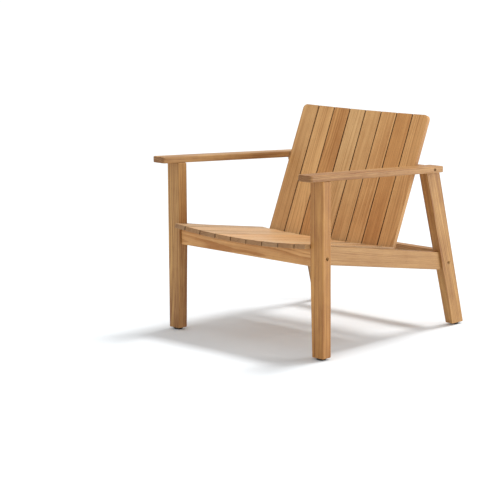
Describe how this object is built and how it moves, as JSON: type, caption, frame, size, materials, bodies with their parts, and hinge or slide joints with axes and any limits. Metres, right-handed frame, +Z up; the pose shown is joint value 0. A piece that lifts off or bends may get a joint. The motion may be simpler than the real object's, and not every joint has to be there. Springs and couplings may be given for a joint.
{
  "type": "adirondack chair",
  "caption": "Low outdoor armchair of solid wood with a sloping slatted seat, a raked slatted back, flat armrests and bolted cross rails.",
  "frame": {"origin": "on the floor, under the middle of the chair's overall box", "axes": "+Z up; the sitter faces -Y; +X is the sitter's left"},
  "size_m": [0.7124, 0.8014, 0.7176],
  "materials": {
    "frame_wood": "sanded hardwood, light oil, satin",
    "armrest_wood": "sanded hardwood, light oil, satin",
    "rail_wood": "sanded hardwood, light oil, satin",
    "seat_wood": "sanded hardwood, light oil, satin",
    "back_wood": "sanded hardwood, light oil, satin",
    "dowel_wood": "plain beech, unfinished",
    "glide_plastic": "moulded, fine matte texture",
    "bolt_steel": "zinc plated, dull",
    "screw_steel": "stainless, brushed"
  },
  "bodies": {
    "root": {"front_leg_left": "frame_wood", "front_leg_right": "frame_wood", "rear_leg_left": "frame_wood", "rear_leg_right": "frame_wood", "side_rail_left": "frame_wood", "side_rail_right": "frame_wood", "armrest_left": "armrest_wood", "armrest_right": "armrest_wood", "front_rail": "rail_wood", "rear_rail": "rail_wood", "arm_cross_rail": "rail_wood", "back_foot_rail": "rail_wood", "seat_rail_middle": "rail_wood", "seat_rail_rear": "rail_wood", "back_batten_top": "rail_wood", "back_batten_middle": "rail_wood", "seat_slat_1": "seat_wood", "seat_slat_2": "seat_wood", "seat_slat_3": "seat_wood", "seat_slat_4": "seat_wood", "seat_slat_5": "seat_wood", "seat_slat_6": "seat_wood", "seat_slat_7": "seat_wood", "seat_slat_8": "seat_wood", "seat_slat_9": "seat_wood", "back_slat_1": "back_wood", "back_slat_2": "back_wood", "back_slat_3": "back_wood", "back_slat_4": "back_wood", "back_slat_5": "back_wood", "back_slat_6": "back_wood", "back_slat_7": "back_wood", "back_slat_8": "back_wood", "foot_glides": "glide_plastic", "front_rail_bolts": "bolt_steel", "rear_rail_bolts": "bolt_steel", "arm_rail_bolts": "bolt_steel", "barrel_nuts": "bolt_steel", "seat_screws": "screw_steel", "back_screws": "screw_steel", "batten_screws": "screw_steel", "glide_nails": "screw_steel", "side_rail_dowels": "dowel_wood", "armrest_dowels": "dowel_wood", "cross_rail_dowels": "dowel_wood"}
  },
  "joints": []
}
